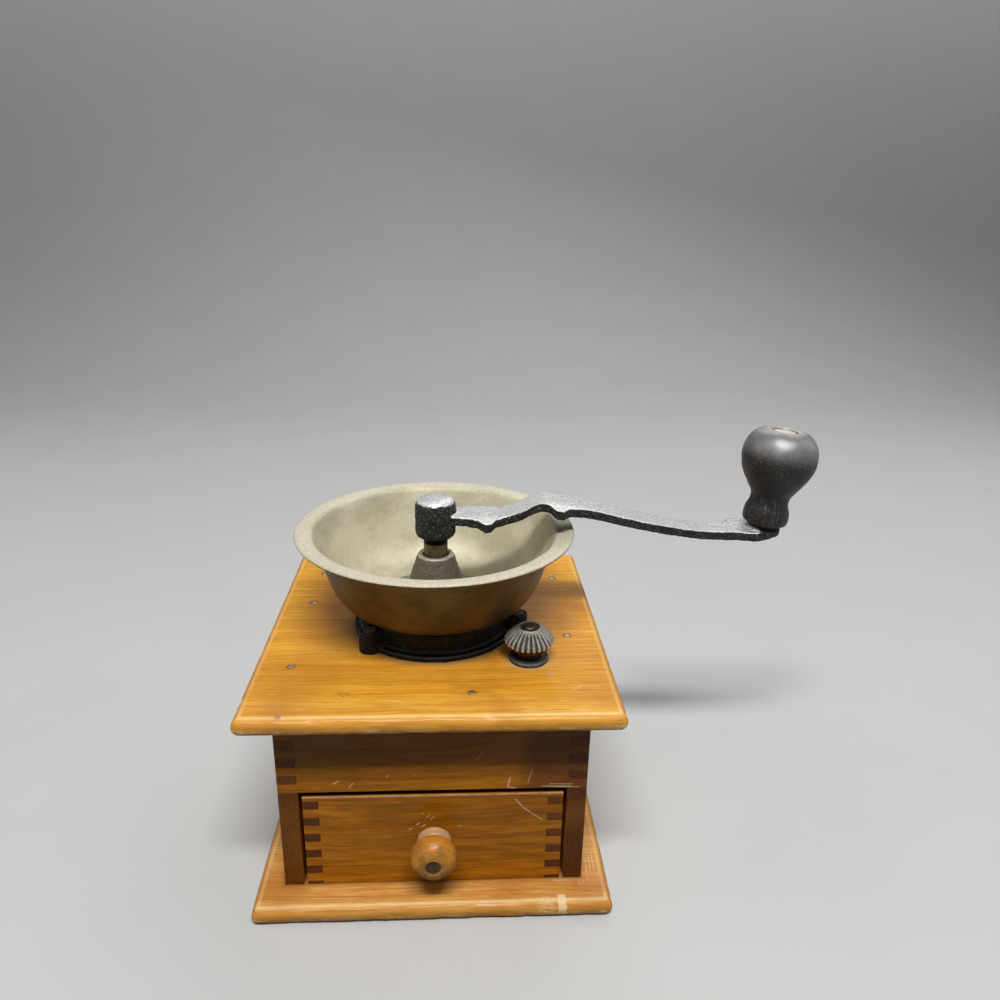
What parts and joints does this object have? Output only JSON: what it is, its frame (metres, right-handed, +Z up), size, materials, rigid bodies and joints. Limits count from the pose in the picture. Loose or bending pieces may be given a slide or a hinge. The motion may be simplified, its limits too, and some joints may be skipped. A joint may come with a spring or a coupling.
{
  "type": "hand crank coffee grinder",
  "caption": "Box coffee mill with a wooden case and drawer, a metal bowl, conical burrs, a swan-necked crank and a fluted grind nut on top.",
  "frame": {"origin": "centre of the base board's underside, on the crank shaft's axis", "axes": "+Z up along the crank shaft, +X along the crank arm, the drawer opens towards -Y"},
  "size_m": [0.2897, 0.186, 0.2277],
  "materials": {
    "board_wood": "amber varnish over fine grain",
    "case_wood": "brown varnish over fine grain",
    "drawer_wood": "brown varnish over fine grain",
    "pull_wood": "worn turned wood",
    "pewter": "dull cast pewter",
    "black_iron": "black enamelled cast iron",
    "tower_iron": "worn grey-brown casting",
    "crank_iron": "graphite cast iron, polished on top by use",
    "black_lacquer": "black lacquer worn to brown wood",
    "burr_steel": "hardened, rough",
    "bright_steel": "turned steel, tarnished",
    "plain_steel": "dull sheet steel",
    "screw_steel": "tarnished steel"
  },
  "bodies": {
    "case": {"base_board": "board_wood", "top_board": "board_wood", "side_panel_left": "case_wood", "side_panel_right": "case_wood", "front_rail": "case_wood", "back_panel": "case_wood", "top_board_nails": "screw_steel", "base_screws": "screw_steel", "grinder_body": "black_iron", "body_screws": "screw_steel", "hopper_bowl": "pewter", "bearing_tower": "tower_iron", "hopper_screws": "screw_steel", "outer_burr": "burr_steel", "burr_plate": "plain_steel", "burr_plate_screws": "screw_steel", "lever_hanger": "plain_steel", "hanger_screws": "screw_steel", "lever_pivot_pin": "bright_steel", "regulating_washer": "black_iron"},
    "drawer": {"drawer_front": "drawer_wood", "drawer_side_left": "drawer_wood", "drawer_side_right": "drawer_wood", "drawer_back": "drawer_wood", "drawer_bottom": "drawer_wood", "drawer_knob": "pull_wood", "drawer_knob_bolt": "screw_steel", "drawer_knob_washer": "screw_steel"},
    "nut": {"regulating_nut": "black_iron"},
    "rod": {"regulating_rod": "bright_steel", "rod_foot_nut": "bright_steel"},
    "lever": {"regulator_lever": "plain_steel"},
    "bush": {"thrust_bush": "bright_steel"},
    "crank": {"crank_shaft": "bright_steel", "inner_burr": "burr_steel", "burr_pin": "bright_steel", "crank_arm": "crank_iron", "knob_washer": "bright_steel", "knob_rivet": "bright_steel"},
    "knob": {"crank_knob": "black_lacquer"}
  },
  "joints": [
    {"name": "drawer_slide", "type": "slide", "parent": "case", "child": "drawer", "axis": [0, -1, 0], "range_m": [0, 0.12]},
    {"name": "nut_turn", "type": "hinge", "parent": "case", "child": "nut", "pos_m": [0.0475, -0.0405, 0.1198], "axis": [0, 0, 1], "range_deg": [-576, 576]},
    {"name": "rod_lift", "type": "slide", "parent": "case", "child": "rod", "axis": [0, 0, 1], "range_m": [-0.00201, 0.00201]},
    {"name": "lever_tilt", "type": "hinge", "parent": "case", "child": "lever", "pos_m": [-0.03424, 0.0292, 0.071], "axis": [-0.6488, -0.761, 0], "range_deg": [-1.08, 1.08]},
    {"name": "shaft_lift", "type": "slide", "parent": "case", "child": "bush", "axis": [0, 0, 1], "range_m": [-0.00083, 0.00083]},
    {"name": "crank_turn", "type": "hinge", "parent": "bush", "child": "crank", "pos_m": [0, 0, 0.0733], "axis": [0, 0, 1], "continuous": true},
    {"name": "knob_spin", "type": "hinge", "parent": "crank", "child": "knob", "pos_m": [0.1765, 0, 0.1742], "axis": [0.0958, 0, 0.9954], "continuous": true}
  ],
  "couplings": [
    {"joint": "nut_turn", "follows": "shaft_lift", "rad_per_m": -11999},
    {"joint": "rod_lift", "follows": "shaft_lift", "ratio": 2.3872},
    {"joint": "lever_tilt", "follows": "shaft_lift", "rad_per_m": 22.222}
  ]
}
